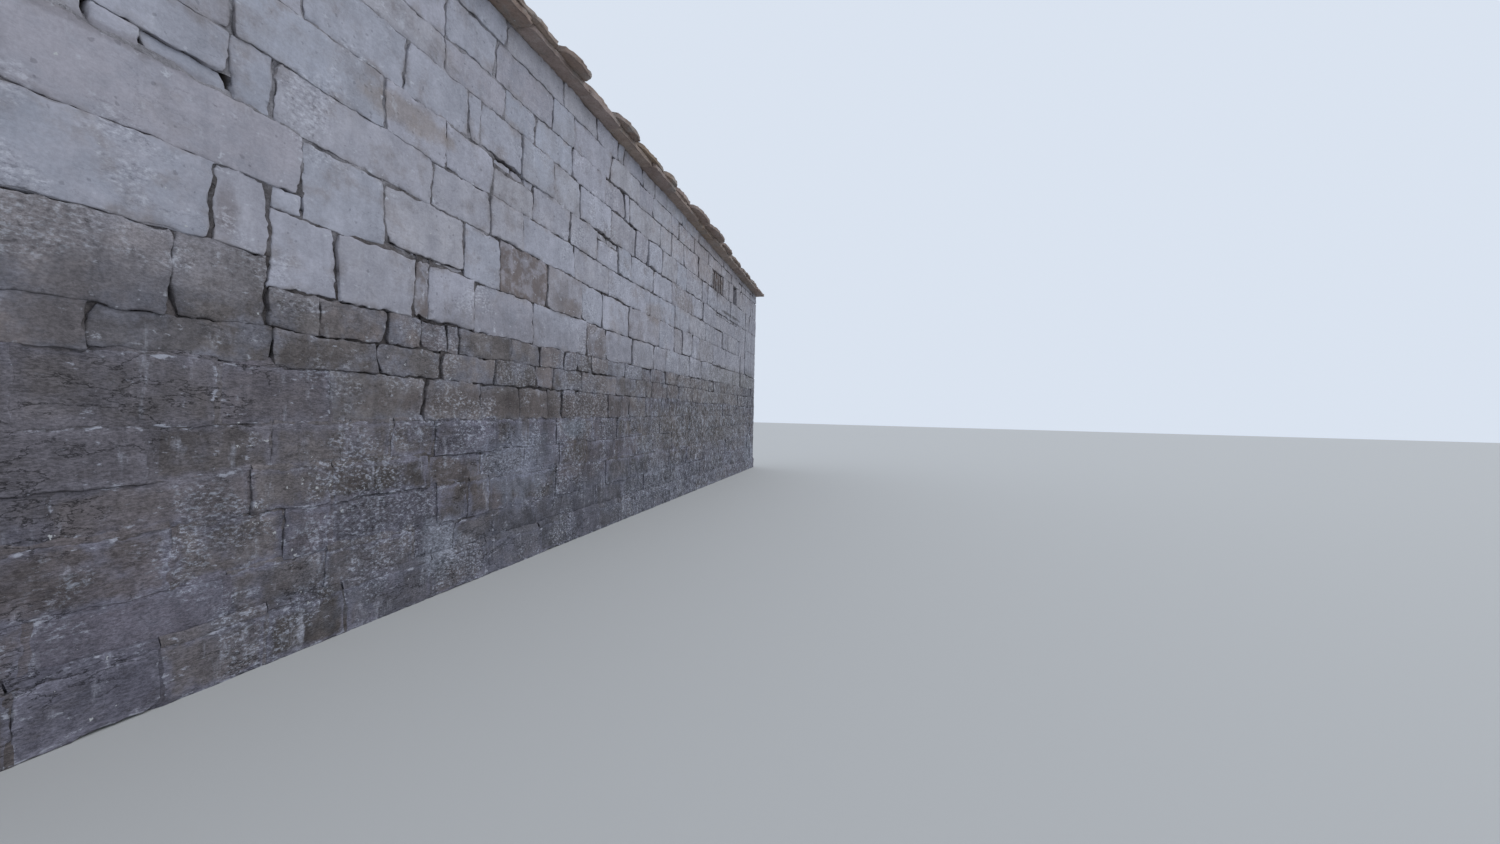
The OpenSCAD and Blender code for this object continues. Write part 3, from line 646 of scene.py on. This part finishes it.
def stone_material(
    name, tones, arris_and_side_shade, crust, crust_amount, film, film_amount, veil, spots, bedding, contrast, grit, bump,
    line=0.45, mottle=0.3, fleck="8b8e98", dark=0.4, far=1.0, near=1.0, drip=0.0, apart=57.0, stains_and_painted_light=(),
):
    """A stone in its own colours. The crust lies under the grain and the film over it, and veil is how far both keep
    to the arrises. The darkening colour makes a patchy darker line along the arrises, as strong as line says, and is
    painted shade on the stone sides that stand back in the joints. Mottle is how much of the stone has flecks of
    lichen, with dark ones among them, far how much they grow towards the far end and near what is left of the grit
    near the eye. Drip is how much hangs down from above, apart how much the grain differs between stones.
    """
    material = bpy.data.materials.new(name)
    material.use_nodes = True
    w = Wiring(material.node_tree)
    shader = w.tree.nodes["Principled BSDF"]
    place = w.node("ShaderNodeTexCoord").outputs["Object"]

    def stored(label):
        return w.node("ShaderNodeAttribute", attribute_name=label).outputs["Fac"]

    tone, rim, shown = stored("tone"), stored("rim"), stored("shown")
    own = w.times(tone, apart)
    grain = group_node(w, grain_tree, Vector=place, Own=own, Bedding=bedding)
    steps = [(i / (len(tones) - 1), tint(t)) for i, t in enumerate(tones)]
    within = w.maths("MULTIPLY_ADD", w.maths("SUBTRACT", grain["Mottle"], 0.5), 0.5, tone)
    colour = w.ramp(within, steps)
    colour = group_node(w, crust_tree, Vector=place, Under=colour, Crust=tint(crust), Amount=crust_amount, Rim=rim,
                        Rim_Share=veil, **CRUST_LOOK)["Colour"]
    for centre_x, centre_z, half_length, half_height, code, strength in stains_and_painted_light:
        colour = group_node(w, stain_and_painted_light_tree, Vector=place, Under=colour, Stain=tint(code),
                            Centre=(centre_x, face_y, centre_z),
                            Reach=(half_length, 0.4 if half_length < 1 else 4.0, half_height),
                            Strength=strength)["Colour"]
    patchy = w.fade(w.noise(place, 6.0, 5.0, None, 0.65), 0.42, 0.56, 0.35, 1.0)
    browned = stored("stain")
    colour = w.blend(w.times(w.maths("MAXIMUM", browned, 0.0), patchy), colour, BROWNER)
    amount = w.maths("MULTIPLY_ADD", w.maths("MINIMUM", browned, 0.0), -0.25, mottle)
    hanging = w.vector("MULTIPLY", place, HANGING)
    if drip:
        runs = group_node(w, crust_tree, Vector=hanging, Amount=drip, **DRIP_LOOK)["Mask"]
        colour = w.blend(w.times(runs, 0.8), colour, tint(film))
    mottled = group_node(w, mottle_tree, Vector=place, Under=colour, Fleck=tint(fleck), Amount=amount, Dark=dark,
                         Far=far)
    light = w.fade(grain["Mottle"], 0.38, 0.62, 1.0 - contrast, 1.0 + contrast)
    along = w.node("ShaderNodeSeparateXYZ", place).outputs["X"]
    gritty = w.times(w.fade(grain["Fine"], 0.36, 0.64, -grit, grit), w.fade(along, -4.0, 1.5, near, 1.0))
    upright = w.fade(w.noise(hanging, 7.0, 5.0, None, 0.72), 0.40, 0.60, 1.0 - 0.8 * contrast, 1.0 + 0.8 * contrast)
    light = w.times(light, w.maths("ADD", gritty, 1.0), upright)
    for mark, gain, rest in (
        ("Flake", 0.5 * contrast, 1.0 - 0.25 * contrast), ("Crack", -0.7, 1.0), ("Streak", 0.2, 1.0),
        ("Pit", -0.25, 1.0),
    ):
        light = w.times(light, w.maths("MULTIPLY_ADD", grain[mark], gain, rest))
    shade = w.node("ShaderNodeCombineColor", light, light, light).outputs[0]
    colour = w.blend(1.0, mottled["Colour"], shade, "MULTIPLY")
    streaky = w.vector("MULTIPLY", place, (1.0, 1.0, 1.0 + 1.5 * bedding))
    pale_film = group_node(w, crust_tree, Vector=streaky, Under=colour, Crust=tint(film), Amount=film_amount,
                           Rim=rim, Rim_Share=0.5 * veil, **FILM_LOOK)
    cluster = w.fade(w.noise(place, 1.5, 4.0, None, 0.6), 0.50, 0.62)
    dots = group_node(w, spot_tree, Vector=place, Under=pale_film["Colour"], Spot=PALE_SPOT, Scale=SPOT_SCALE,
                      Amount=spots, Where=cluster)
    # A patchy darker line along the arrises takes the darkening colour, and so do the stone sides that stand back in
    # the joints, where shown is low, as painted shade.
    partly = w.fade(w.noise(place, 3.3, 3.0, None, 0.6), 0.38, 0.52)
    reach = w.fade(w.noise(place, 11.0, 3.0, None, 0.6), 0.38, 0.66, 0.003, 0.016)
    arris_line_and_side_shade_mask = w.times(w.fade(rim, 0.0, reach, 1.0, 0.0), line, partly)
    arris_line_and_side_shade_mask = w.maths("MAXIMUM", arris_line_and_side_shade_mask, w.fade(shown, 0.9, 0.4))
    w.put(shader.inputs["Base Color"], w.blend(arris_line_and_side_shade_mask, dots["Colour"], tint(arris_and_side_shade)))
    w.put(shader.inputs["Roughness"], w.fade(grain["Mottle"], 0.3, 0.7, 0.98, 0.86))
    shader.inputs["Specular IOR Level"].default_value = 0.3
    relief = grain["Height"]
    for growth, thickness in ((pale_film, 0.06), (mottled, 0.08), (dots, 0.10)):
        relief = w.maths("MULTIPLY_ADD", growth["Mask"], thickness, relief)
    bumped = w.node("ShaderNodeBump")
    bumped.inputs["Strength"].default_value = bump
    bumped.inputs["Distance"].default_value = BUMP_DISTANCE
    w.put(bumped.inputs["Height"], relief)
    w.put(shader.inputs["Normal"], bumped.outputs[0])
    return material


# Each stain is given as its middle along and up the wall, its half length and half height, its colour and strength;
# the painted light and shade among them are marked where they stand
pale_stone = stone_material(
    "pale_grey_stone", ["a2a3ad", "a5a5af", "a8a7b1", "a3a2ab", "a6a4aa", "a1a3ae", "9f9ca4"],
    arris_and_side_shade="6b6462", crust="928e92", crust_amount=0.50, film="b9bac2", film_amount=0.38, veil=0.07, spots=0.05,
    bedding=0.2, contrast=0.075, grit=0.15, bump=0.20, line=0.35, mottle=0.43, fleck="c3c4cc", dark=0.34, far=0.85,
    near=0.45, drip=0.41,
    stains_and_painted_light=(
        (-1.25, 2.42, 0.34, 0.10, "756b66", 0.5),
        (4.00, 4.05, 2.80, 0.50, "a3958f", 0.5), (3.80, 3.85, 0.45, 0.25, "4f4845", 0.8),
        (-4.23, 2.33, 0.06, 0.16, "7a7477", 0.7), (-4.85, 2.92, 0.60, 0.035, "858187", 0.6),
        (-3.20, 3.35, 0.45, 0.10, "8a7d72", 0.5), (0.90, 2.75, 0.35, 0.16, "8b817c", 0.5),
        # On the next line the second stain is painted shade: the far end of the pale stones is made darker, as if
        # trees shaded it.
        (2.10, 3.10, 0.45, 0.20, "8d8480", 0.5), (6.80, 2.60, 5.00, 2.60, "7f7d83", 0.55),
        (6.50, 1.95, 0.80, 0.45, "606066", 0.75),
        (5.20, 2.00, 2.60, 0.32, "6f6c69", 0.6), (0.50, 2.05, 3.80, 0.24, "7c7a80", 0.5),
        # The next stain is a painted shadow: a thin dark line along an open bed joint, where the stones above stand
        # back.
        (4.75, 3.39, 0.75, 0.035, "3f3a3a", 0.8),
    ),
)
brown_stone = stone_material(
    "brown_stone", ["615b5a", "6e6969", "756d6c", "696366", "7f7878", "706a69", "82828a"],
    arris_and_side_shade="3f3a39", crust="7b7a82", crust_amount=0.55, film="a4a5ac", film_amount=0.38, veil=0.05, spots=0.10,
    bedding=0.4, contrast=0.14, grit=0.22, bump=0.4, line=0.55, mottle=0.48, fleck="a9aab1", dark=0.45, far=1.55,
    drip=0.40,
    stains_and_painted_light=(
        # On the next line the second stain is painted light: a pale haze over the top of the brown course near the
        # eye.
        (-1.60, 1.42, 2.40, 0.13, "59514f", 0.7), (-4.80, 2.12, 1.60, 0.24, "8b878b", 0.65),
        (-4.65, 1.75, 0.38, 0.28, "55545a", 0.5), (4.50, 1.70, 3.00, 0.40, "69635f", 0.5),
        (6.50, 1.65, 0.80, 0.50, "535157", 0.9),
    ),
)
base_stone = stone_material(
    "base_stone", ["4b4644", "605959", "6b6771", "524d4e", "6d6768", "5a5862"],
    arris_and_side_shade="353131", crust="706e79", crust_amount=0.53, film="a6a7b1", film_amount=0.385, veil=0.20, spots=0.17,
    bedding=0.9, contrast=0.17, grit=0.32, bump=0.55, line=0.75, mottle=0.50, fleck="a9adb8", dark=0.5, far=1.75,
    drip=0.44, apart=0.0,
    stains_and_painted_light=(
        (-4.65, 1.55, 0.42, 0.35, "4c4a4f", 0.4), (0.00, 0.28, 4.20, 0.45, "565861", 0.55),
        (-4.50, 1.20, 1.60, 0.50, "706a6a", 0.4),
        (-3.60, 0.95, 0.25, 0.14, "524b49", 0.5), (-1.00, 0.95, 0.30, 0.30, "58514f", 0.6),
        (-1.96, 0.88, 0.55, 0.34, "777b87", 0.5), (-1.10, 1.18, 0.25, 0.10, "7d838e", 0.6),
        (-2.85, 0.34, 0.20, 0.22, "8d909a", 0.6), (0.70, 0.90, 0.25, 0.16, "83868f", 0.5),
        (3.60, 1.15, 3.60, 0.45, "615a55", 0.8), (6.50, 0.45, 0.50, 0.35, "82868f", 0.5),
    ),
)
zone_coats = (base_stone, brown_stone, pale_stone)

# How stones are dressed, in metres: how wide the worn arris and the rounded corner are, how far the edges stay inside
# joints and beds (below 0 they reach past the block), the shares with a broken corner or a wedge-shaped side, the tilt
# and swell of the face and the spacing of its points. Rough stones are the brown courses, closed ones the foot.
BLOCK = {
    "arris": (0.003, 0.008), "corner": (0.004, 0.014), "joint_inset": (-0.006, 0.007), "bed_inset": (-0.005, 0.010),
    "broken": 0.4, "wedge": 0.35, "tilt": 0.004, "swell": 0.002, "side": 0.05, "spacing": 0.034, "both_faces": False,
    "side_spacing": 0.08,
}
ROUGH = {
    "arris": (0.004, 0.009), "corner": (0.005, 0.020), "joint_inset": (-0.007, 0.004), "bed_inset": (-0.005, 0.008),
    "broken": 0.25, "wedge": 0.2,
}
CLOSED = {
    "arris": (0.003, 0.006), "corner": (0.003, 0.010), "joint_inset": (-0.007, 0.003), "bed_inset": (-0.006, 0.004),
    "broken": 0.08, "wedge": 0.08, "tilt": 0.0015, "swell": 0.001,
}
NEAR_EYE, FINER_NEAR_EYE = -1.0, 0.62
# The height where the pale stones start and its fall along the wall, and the heights where the brown ones start
PALE_FROM, PALE_FALL = 2.03, 0.01
BROWN_FROM, BROWN_LOW, BROWN_LOW_REACH = 1.54, 1.34, (-3.4, 0.6)
LAST_BASE_COURSE, LAST_BROWN_COURSE, LAST_COURSE = 5, 8, 16
# Stones that differ from their neighbours, each as a place on its face and how brown it is, or how crusted below 0
BROWNED = ((-2.03, 2.60, 0.8), (-1.29, 2.50, 0.4), (-0.68, 2.14, 0.6), (-3.06, 2.10, 0.7), (0.52, 2.50, 0.3),
           (2.30, 3.05, 0.35), (1.75, 2.62, 0.25), (-0.20, 3.40, 0.2), (3.30, 2.50, 0.25), (-2.03, 1.70, -1.0),
           (-0.95, 1.42, -1.0), (0.10, 1.90, -0.8), (-1.96, 0.88, -1.0), (-1.10, 1.18, -1.0), (-2.85, 0.34, -0.8),
           (0.70, 0.90, -0.8))
tone_of = {}


def zone_of(corners):
    """The pale stones above, the rough brown courses or the overgrown foot of the wall."""
    x, z = corners.mean(0)
    if z > PALE_FROM - PALE_FALL * x:
        return PALE
    low = BROWN_LOW_REACH[0] < x < BROWN_LOW_REACH[1]
    return BROWN if z > BROWN_FROM or (z > BROWN_LOW and low) else BASE


def dress(node, slot, seed, **changes):
    """Dresses every stone of a node and lets the result stand for the node."""
    parts = []
    for i, co in enumerate(blocks_of(node)):
        rng = np.random.default_rng(1000 * seed + i)
        c, front, rear = stone_corners(co), co[:, 1].min(), co[:, 1].max()
        zone = zone_of(c)
        own = {**BLOCK, **(CLOSED, ROUGH, {})[zone], **changes}
        if c[0][0] < NEAR_EYE and front < 0:
            own["spacing"] *= FINER_NEAR_EYE
        turned = front > 0
        if turned:
            c = c[[1, 0, 3, 2]] * (-1, 1)
            front, rear = -rear, -front
        part = block_mesh(rng, c, front, rear, own)
        if turned:
            part["points"] = part["points"] * (-1, -1, 1)
        part["tone"], part["zone"] = rng.random(), zone
        tone_of[node, i] = part["tone"]
        part["stain"] = max((s for x, z, s in BROWNED if c[0][0] < x < c[1][0] and c[0][1] < z < c[3][1]),
                            default=own.get("browned", 0.0))
        parts.append(part)
    piece = weathered(node + "_stones", joined(node, parts), zone_coats, seed=float(seed), swell_depth=0.006,
                      pit_depth=0.003)
    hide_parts(node)


for course in range(1, LAST_COURSE + 1):
    slot = ZONES[(course > LAST_BASE_COURSE) + (course > LAST_BROWN_COURSE)]
    dress(f"front_course_{course:02d}", slot, course)
    dress(f"rear_course_{course:02d}", slot, course + 20, spacing=0.07)
for seed, node in enumerate(("corner_runners", "corner_headers", "upper_corner_block"), 50):
    dress(node, "corner_stone", seed, both_faces=True, spacing=0.055, side_spacing=0.055)
for seed, node in enumerate(("through_stones", "slit_jambs", "slit_sill", "slit_lintel"), 55):
    dress(node, "pale_grey_stone", seed, both_faces=True, spacing=0.045, side_spacing=0.3 if seed == 55 else 0.06)
dress("opening_infill", "brown_stone", 60, bed_inset=(0.004, 0.02), joint_inset=(0.002, 0.02), browned=1.0)
dress("bed_slips", "pale_grey_stone", 61, arris=(0.005, 0.009), corner=(0.004, 0.012), bed_inset=(0.0, 0.004),
      joint_inset=(-0.002, 0.004), broken=0.0)


# Joint earth. Fine earth and small chips stand in the joints: nearly flush with the face at the foot, where lichen
# has grown over them, and deeper in the joints higher up. A strip follows the top and one side of every stone.
# Each zone has its least and greatest depth, and near the eye the joints of the pale stones are fuller.
EARTH_DEPTH = ((-0.001, 0.016), (0.010, 0.034), (0.012, 0.034))
FULLER_BEFORE, FULLER_SHARE = -1.5, 0.45
OPEN_ABOVE, OPEN_UPRIGHT_AT_FOOT, OPEN_BED_AT_FOOT = 0.4, -0.35, 0.0
EARTH_WAVES = (0.61, 0.34, 0.17)
# The rows of a strip, each as its distance from the joint and how much deeper it lies
EARTH_ROWS = ((-0.045, 0.016), (-0.010, 0.0), (0.010, 0.0), (0.045, 0.016))
EARTH_SEED = 90000
LEAST_FACE = 0.3
HALF_JOINT = 0.004
BARE_END = 0.02
BEHIND_FOOT_STONE, BEHIND_FACE = 0.002, 0.008


def strip_mesh(rng, start, stop, front, depth, open_share, spacing):
    """A strip of earth along a joint from start to stop in side view, bulging out between its buried edges."""
    count = max(3, round(float(np.hypot(*(stop - start))) / spacing))
    t = np.linspace(0, 1, count)[:, None]
    line = start + (stop - start) * t
    across = np.array([start[1] - stop[1], stop[0] - start[0]]) / np.hypot(*(stop - start))
    way = np.hypot(*(stop - start)) * t[:, 0]
    wave = sum(np.sin(2 * np.pi * (way / length + rng.random())) for length in EARTH_WAVES) / len(EARTH_WAVES)
    behind = depth[0] + (depth[1] - depth[0]) * np.clip(open_share + 0.9 * wave, 0, 1)
    rows = []
    for side, extra in EARTH_ROWS:
        spot = line + across * side
        rows.append(np.column_stack([spot[:, 0], front + behind + extra, spot[:, 1]]))
    index = np.arange(4 * count).reshape(4, count)
    quads = np.concatenate([
        np.stack([index[k, :-1], index[k, 1:], index[k + 1, 1:], index[k + 1, :-1]], -1) for k in range(3)
    ])
    size = 4 * count
    return {
        "points": np.concatenate(rows), "quads": quads, "tris": np.zeros((0, 3), int), "worn": np.zeros(size),
        "shown": np.ones(size), "rim": np.full(size, 0.1),
    }


joint_earth = stone_material(
    "joint_earth", ["494444", "524d4d", "5b5555", "444040"],
    arris_and_side_shade="2f2b2a", crust="645f5f", crust_amount=0.5, film="7b7777", film_amount=0.33, veil=0.0, spots=0.0,
    # The stain is painted light: the joint earth near the eye is made paler, against the shade in its joints and for
    # the haze there.
    bedding=0.1, contrast=0.15, grit=0.2, bump=0.8, stains_and_painted_light=((-5.50, 4.30, 4.60, 2.00, "8e8c91", 0.9),),
)
shared = ["corner_runners", "corner_headers", "upper_corner_block", "through_stones", "slit_lintel"]
for side, sign, spacing in (("front", -1, 0.024), ("rear", 1, 0.05)):
    parts = []
    for node in [f"{side}_course_{k:02d}" for k in range(1, LAST_COURSE + 1)] + shared:
        for i, co in enumerate(blocks_of(node)):
            if (co[:, 1] * sign).max() < LEAST_FACE:
                continue
            rng = np.random.default_rng(EARTH_SEED + 100 * len(parts) + i)
            c = stone_corners(co)
            zone = zone_of(c)
            stone_face = -(co[:, 1] * sign).max()
            front = stone_face + BEHIND_FOOT_STONE if zone == BASE else max(stone_face, face_y + BEHIND_FACE)
            for upright, start, stop in ((False, c[3], c[2]), (True, c[2] + (HALF_JOINT, 0), c[1] + (HALF_JOINT, 0))):
                if min(start[0], stop[0]) > far_x - BARE_END:
                    continue
                if sign > 0:
                    start, stop = stop * (-1, 1), start * (-1, 1)
                open_share = OPEN_ABOVE if zone != BASE else OPEN_UPRIGHT_AT_FOOT if upright else OPEN_BED_AT_FOOT
                full = FULLER_SHARE if zone == PALE and side == "front" and start[0] < FULLER_BEFORE else 1.0
                depth = [reach * full for reach in EARTH_DEPTH[zone]]
                part = strip_mesh(rng, start, stop, front, depth, open_share, spacing)
                if sign > 0:
                    part["points"] = part["points"] * (-1, -1, 1)
                part["tone"], part["zone"] = tone_of[node, i], zone
                parts.append(part)
    name = f"joint_earth_{side}"
    earth = weathered(name, joined(name, parts), (base_stone, joint_earth, joint_earth), seed=80.0,
                      swell_depth=0.002, pit_depth=0.003, bedding_depth=0.001, chip_depth=0.0)


# Cover slabs. Two layers of split slabs lie across the head of the wall; their edges are thin leaves of stone and
# their outline is ragged. Each is built in rings, from the middle of its underside round its edge to its top.
SLAB_SPACING = 0.045
JOINT_REACH = 0.010
UNDERSIDE_RINGS = (0.2, 0.45, 0.68, 0.84, 0.94)
TOP_RINGS = (0.95, 0.86, 0.72, 0.52, 0.25)
# The rings round the edge, each as its share of the height, which of the three leaves it is on and its set-back
EDGE_RINGS = (
    (0.0, 0, 0.016), (0.0, 0, 0.006), (0.03, 0, 0.001), (0.10, 0, 0.0), (0.31, 0, 0.0), (0.33, 1, 0.004),
    (0.62, 1, 0.0), (0.64, 2, 0.004), (0.86, 2, 0.0), (0.92, 2, 0.003), (0.95, 2, 0.012),
)


def slab_mesh(rng, co, square, fitted):
    """One slab; square pushes its outline towards its box, and a fitted slab meets its neighbours in tight joints."""
    flat, centre = outline_of(co, [0, 1])
    ends = [co[abs(co[:, 0] - x) < 0.002] for x in (co[:, 0].min(), co[:, 0].max())]
    (x0, low0, top0), (x1, low1, top1) = [(e[0, 0], e[:, 2].min(), e[:, 2].max()) for e in ends]
    loop = np.vstack([flat, flat[:1]])
    run = np.concatenate([[0], np.cumsum(np.hypot(*np.diff(loop, axis=0).T))])
    count = int(run[-1] / SLAB_SPACING)
    at = np.arange(count) / count * run[-1]
    rim = np.stack([np.interp(at, run, loop[:, k]) for k in (0, 1)], 1)
    box = (rim - centre) / ((flat.max(0) - flat.min(0)) / 2)
    rim = centre + (rim - centre) * (1 + square * (1 / abs(box).max(1) - 1))[:, None]
    closed = (abs(box[:, 0]) > abs(box[:, 1])) * fitted
    reach = JOINT_REACH * closed * np.sign(box[:, 0])
    rim[:, 0] = np.clip(rim[:, 0] + reach, cad_low[0] + 0.005, cad_high[0] - 0.005)
    inward = centre - rim
    inward /= np.hypot(*inward.T)[:, None]
    turn = 2 * np.pi * np.arange(count) / count

    def wave(orders, size):
        return size * sum(np.sin(k * turn + rng.uniform(0, 6.28)) * rng.uniform(0.4, 1.0) for k in orders) / 2

    worn = 0.004 + abs(wave((9, 14, 19, 27), 0.009)) + abs(wave((31, 43), 0.006))
    leaves = [(worn + abs(wave((6, 13, 21, 34), 0.010))) * (1 - 0.9 * closed) for _ in range(3)]
    rings, rim_of, worn_of = [], [], []

    def ring(flat_points, share, rim_here, worn_here):
        part = (flat_points[:, 0] - x0) / (x1 - x0)
        low, top = low0 + (low1 - low0) * part, top0 + (top1 - top0) * part
        rings.append(np.column_stack([flat_points, low + (top - low) * share]))
        rim_of.append(np.full(count, rim_here))
        worn_of.append(np.full(count, worn_here))

    outline = rim + inward * leaves[0][:, None]
    for shrink in UNDERSIDE_RINGS:
        ring(centre + (outline - centre) * shrink, 0.0, 0.5 * (1 - shrink), 0.0)
    for share, leaf, back in EDGE_RINGS:
        ring(rim + inward * (leaves[leaf] + back)[:, None], share, 0.0, 1.0 if share > 0.8 or share < 0.1 else 0.5)
    outline = rings[-1][:, :2]
    for shrink in TOP_RINGS:
        ring(centre + (outline - centre) * shrink, EDGE_RINGS[-1][0], 0.5 * (1 - shrink), 0.0)
    total = len(rings) * count
    heart = [rings[0].mean(0), rings[-1].mean(0)]
    here = np.arange(count)
    after = np.roll(here, -1)
    quads = np.concatenate([
        np.stack([k * count + here, k * count + after, (k + 1) * count + after, (k + 1) * count + here], -1)
        for k in range(len(rings) - 1)
    ])
    last = (len(rings) - 1) * count
    tris = np.concatenate([
        np.stack([np.full(count, total), after, here], -1),
        np.stack([np.full(count, total + 1), last + here, last + after], -1),
    ])
    return {
        "points": np.concatenate(rings + [np.array(heart)]), "quads": quads, "tris": tris,
        "worn": np.concatenate(worn_of + [[0, 0]]), "shown": np.ones(total + 2),
        "rim": np.concatenate(rim_of + [[0.5, 0.5]]),
    }


slab_stone = stone_material(
    "slab_stone", ["93806f", "9a887b", "917e75", "a09085", "89776d", "9c8d87"],
    arris_and_side_shade="544a47", crust="968e88", crust_amount=0.5, film="a3a1a1", film_amount=0.36, veil=0.04, spots=0.15,
    bedding=0.3, contrast=0.08, grit=0.12, bump=0.5, line=0.2, mottle=0.4, fleck="9f9b98",
)
for node, seed, square, fitted in (("lower_slabs", 70, 0.9, True), ("upper_slabs", 71, 0.35, False)):
    parts = []
    for i, co in enumerate(blocks_of(node)):
        rng = np.random.default_rng(1000 * seed + i)
        part = slab_mesh(rng, co, square, fitted)
        part["tone"], part["zone"] = rng.random(), BASE
        parts.append(part)
    piece = weathered(node + "_stones", joined(node, parts), (slab_stone,) * 3, seed=float(seed), swell_depth=0.006,
                      pit_depth=0.003, bedding_depth=0.002, bedding_size=0.02, chip_depth=0.015, chip_size=0.04,
                      wander_depth=0.0)
    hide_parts(node)


# Hearting. The small stones between the two leaves show only as darkness in the open joints, so the frame's own
# blocks stay, with a coat of packed earth and rubble.
core_stone = stone_material(
    "core_stone", ["3a332e", "4a413a", "544a42", "40382f"],
    arris_and_side_shade="2b2522", crust="5a5048", crust_amount=0.5, film="6a6058", film_amount=0.1, veil=0.0, spots=0.0,
    bedding=0.1, contrast=0.2, grit=0.2, bump=1.0,
)
for node in ("hearting_lifts", "hearting_pockets"):
    nodes[node].data.materials.clear()
    nodes[node].data.materials.append(core_stone)
